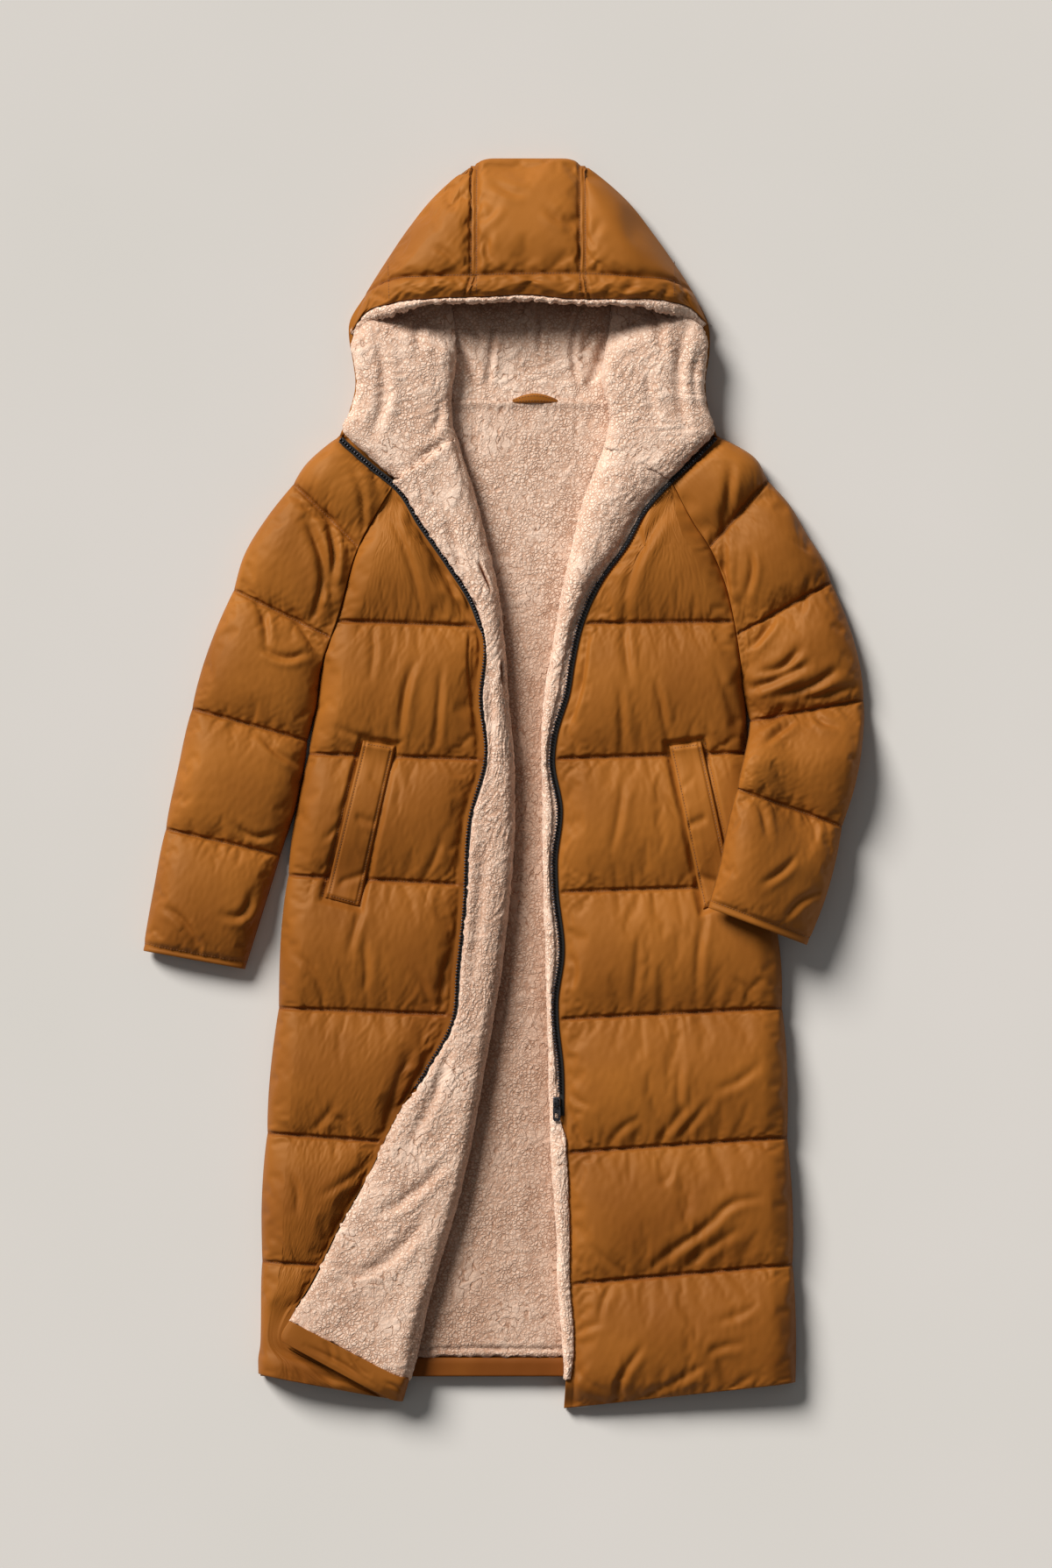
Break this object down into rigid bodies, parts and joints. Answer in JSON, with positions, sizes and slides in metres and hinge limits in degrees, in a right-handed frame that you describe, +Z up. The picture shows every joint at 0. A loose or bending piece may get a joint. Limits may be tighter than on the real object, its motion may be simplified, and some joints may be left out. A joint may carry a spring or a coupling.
{
  "type": "long puffer coat",
  "caption": "Long quilted padded coat with fleece lining and hood, laid flat with its zipped front open and one lapel turned back.",
  "frame": {"origin": "centre of the coat's bounding box, on the surface it lies on", "axes": "+Y from the hem to the hood, +X to the coat's left front, +Z up from the back to the fronts"},
  "size_m": [0.863, 1.4994, 0.0879],
  "materials": {
    "shell": "smooth caramel nylon, quilted over padding",
    "fleece": "pinkish beige sherpa fleece",
    "zip_tape": "black woven tape with moulded teeth",
    "zip_metal": "black plated zinc"
  },
  "bodies": {
    "coat": {"back_panel": "shell", "back_hem_facing": "shell", "right_front": "shell", "right_front_hem_facing": "shell", "left_front": "shell", "right_sleeve": "shell", "left_sleeve": "shell", "hood_back": "shell", "hood_centre": "shell", "hood_right": "shell", "hood_left": "shell", "hood_band": "shell", "hood_right_turnback": "shell", "hood_left_turnback": "shell", "right_pocket_welt": "shell", "left_pocket_welt": "shell", "hanger_loop": "shell", "back_lining": "fleece", "right_front_lining": "fleece", "left_front_facing": "fleece", "hood_lining_centre": "fleece", "hood_lining_right": "fleece", "hood_lining_left": "fleece", "hood_brim_lining": "fleece", "right_zip_tape": "zip_tape", "left_zip_tape": "zip_tape", "zip_slider": "zip_metal"},
    "pull_tab": {"pull_tab": "zip_metal"}
  },
  "joints": [
    {"name": "pull_tab_hinge", "type": "hinge", "parent": "coat", "child": "pull_tab", "pos_m": [0.064, -0.381, 0.03675], "axis": [-1, 0, 0], "range_deg": [0, 165]}
  ]
}
